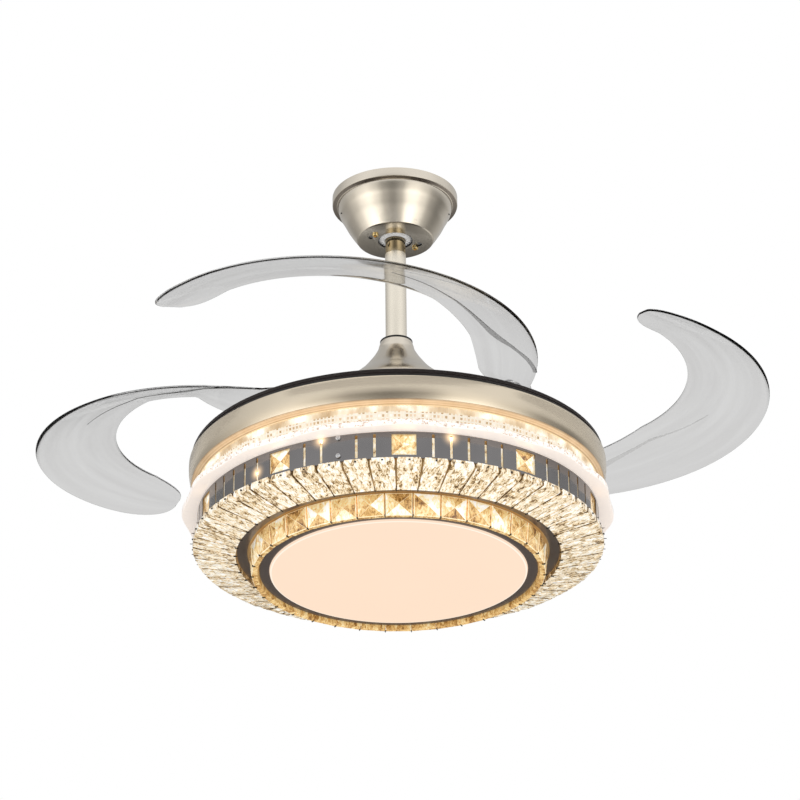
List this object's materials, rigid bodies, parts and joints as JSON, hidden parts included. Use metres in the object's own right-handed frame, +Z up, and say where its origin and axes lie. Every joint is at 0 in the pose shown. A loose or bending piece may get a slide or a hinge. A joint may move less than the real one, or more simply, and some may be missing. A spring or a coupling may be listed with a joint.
{
  "type": "chandelier ceiling fan",
  "caption": "Ceiling fan on a downrod with folding clear crescent blades above a round crystal lamp with slotted mirror band and a flat warm light panel.",
  "frame": {"origin": "centre of the mounting bracket's top face, on the ceiling plane", "axes": "+Z up along the downrod; -Y towards the viewer's near side, +X to the right in the picture"},
  "size_m": [0.885, 0.885, 0.5129],
  "materials": {
    "satin_nickel": "satin nickel plate",
    "satin_nickel_ring": "satin nickel on aluminium",
    "zinc_steel": "zinc-plated sheet",
    "brass_screw": "plain",
    "bright_steel": "polished",
    "dark_mirror": "dark mirror",
    "bronze": "dark bronze lacquer",
    "black_frame": "satin black",
    "black_metal": "matt black",
    "black_plastic": "fine texture",
    "white_nylon": "moulded",
    "rubber": "matt",
    "lead_sheath": "matt",
    "lamination": "varnished",
    "magnet": "ground",
    "clear_blade": "clear, polished",
    "clear_prism": "clear prisms",
    "frosted_acrylic": "frosted edge-lit",
    "amber_reflector": "warm metallised",
    "pale_crystal": "cut and polished",
    "amber_crystal": "cut and polished",
    "opal_panel": "opal diffuser",
    "circuit_board": "white solder mask"
  },
  "bodies": {
    "ceiling_mount": {"ceiling_bracket": "zinc_steel", "canopy": "satin_nickel", "canopy_screw_left": "brass_screw", "canopy_screw_right": "brass_screw", "terminal_block": "white_nylon"},
    "hanging_body": {"hanger_ball": "white_nylon", "ball_pin": "bright_steel", "downrod": "satin_nickel", "power_lead": "lead_sheath", "rubber_ring": "rubber", "coupling_cover": "satin_nickel", "coupling_yoke": "zinc_steel", "yoke_pin": "bright_steel", "motor_shaft": "bright_steel", "shaft_nut": "zinc_steel", "stator": "lamination", "metal_ring": "satin_nickel_ring", "lamp_chassis": "zinc_steel", "reflector_ring": "amber_reflector", "prism_ring": "clear_prism", "led_strip": "circuit_board", "acrylic_plate": "frosted_acrylic", "crystal_pan": "zinc_steel", "slotted_band": "dark_mirror", "band_screw_upper": "bright_steel", "band_screw_lower": "bright_steel", "window_crystals": "amber_crystal", "outer_crystals": "pale_crystal", "bronze_channel": "bronze", "inner_crystals": "amber_crystal", "panel_frame": "black_frame", "diffuser_panel": "opal_panel", "led_board": "circuit_board", "led_driver": "white_nylon", "remote_receiver": "black_plastic"},
    "rotor": {"rotor_upper_shell": "satin_nickel_ring", "rotor_lower_shell": "satin_nickel_ring", "magnet_ring": "magnet", "upper_bearing": "bright_steel", "lower_bearing": "bright_steel", "rotor_cover": "black_plastic", "rotor_base": "black_metal", "pivot_screw_1": "bright_steel", "pivot_screw_2": "bright_steel", "pivot_screw_3": "bright_steel", "pivot_screw_4": "bright_steel", "return_spring_1": "bright_steel", "return_spring_2": "bright_steel", "return_spring_3": "bright_steel", "return_spring_4": "bright_steel"},
    "gear": {"sync_gear": "white_nylon"},
    "blade_arm_1": {"blade_1": "clear_blade", "blade_hub_1": "black_plastic"},
    "blade_arm_2": {"blade_2": "clear_blade", "blade_hub_2": "black_plastic"},
    "blade_arm_3": {"blade_3": "clear_blade", "blade_hub_3": "black_plastic"},
    "blade_arm_4": {"blade_4": "clear_blade", "blade_hub_4": "black_plastic"}
  },
  "joints": [
    {"name": "hanger_tilt", "type": "hinge", "parent": "ceiling_mount", "child": "hanging_body", "pos_m": [0, 0, -0.04281], "axis": [1, 0, 0], "range_deg": [-12, 12]},
    {"name": "rotor_spin", "type": "hinge", "parent": "hanging_body", "child": "rotor", "pos_m": [0, 0, -0.361], "axis": [0, 0, 1], "continuous": true},
    {"name": "blade_1_swing", "type": "hinge", "parent": "rotor", "child": "blade_arm_1", "pos_m": [-0.15857, -0.12993, -0.34], "axis": [0, 0, -1], "range_deg": [0, 65.8]},
    {"name": "blade_2_swing", "type": "hinge", "parent": "rotor", "child": "blade_arm_2", "pos_m": [0.12993, -0.15857, -0.34], "axis": [0, 0, -1], "range_deg": [0, 65.8]},
    {"name": "blade_3_swing", "type": "hinge", "parent": "rotor", "child": "blade_arm_3", "pos_m": [0.15857, 0.12993, -0.34], "axis": [0, 0, -1], "range_deg": [0, 65.8]},
    {"name": "blade_4_swing", "type": "hinge", "parent": "rotor", "child": "blade_arm_4", "pos_m": [-0.12993, 0.15857, -0.34], "axis": [0, 0, -1], "range_deg": [0, 65.8]},
    {"name": "sync_turn", "type": "hinge", "parent": "rotor", "child": "gear", "pos_m": [0, 0, -0.366], "axis": [0, 0, 1], "range_deg": [0, 9.2]}
  ],
  "couplings": [
    {"joint": "blade_2_swing", "follows": "blade_1_swing", "ratio": 1},
    {"joint": "blade_3_swing", "follows": "blade_1_swing", "ratio": 1},
    {"joint": "blade_4_swing", "follows": "blade_1_swing", "ratio": 1},
    {"joint": "sync_turn", "follows": "blade_1_swing", "ratio": 0.13889}
  ]
}
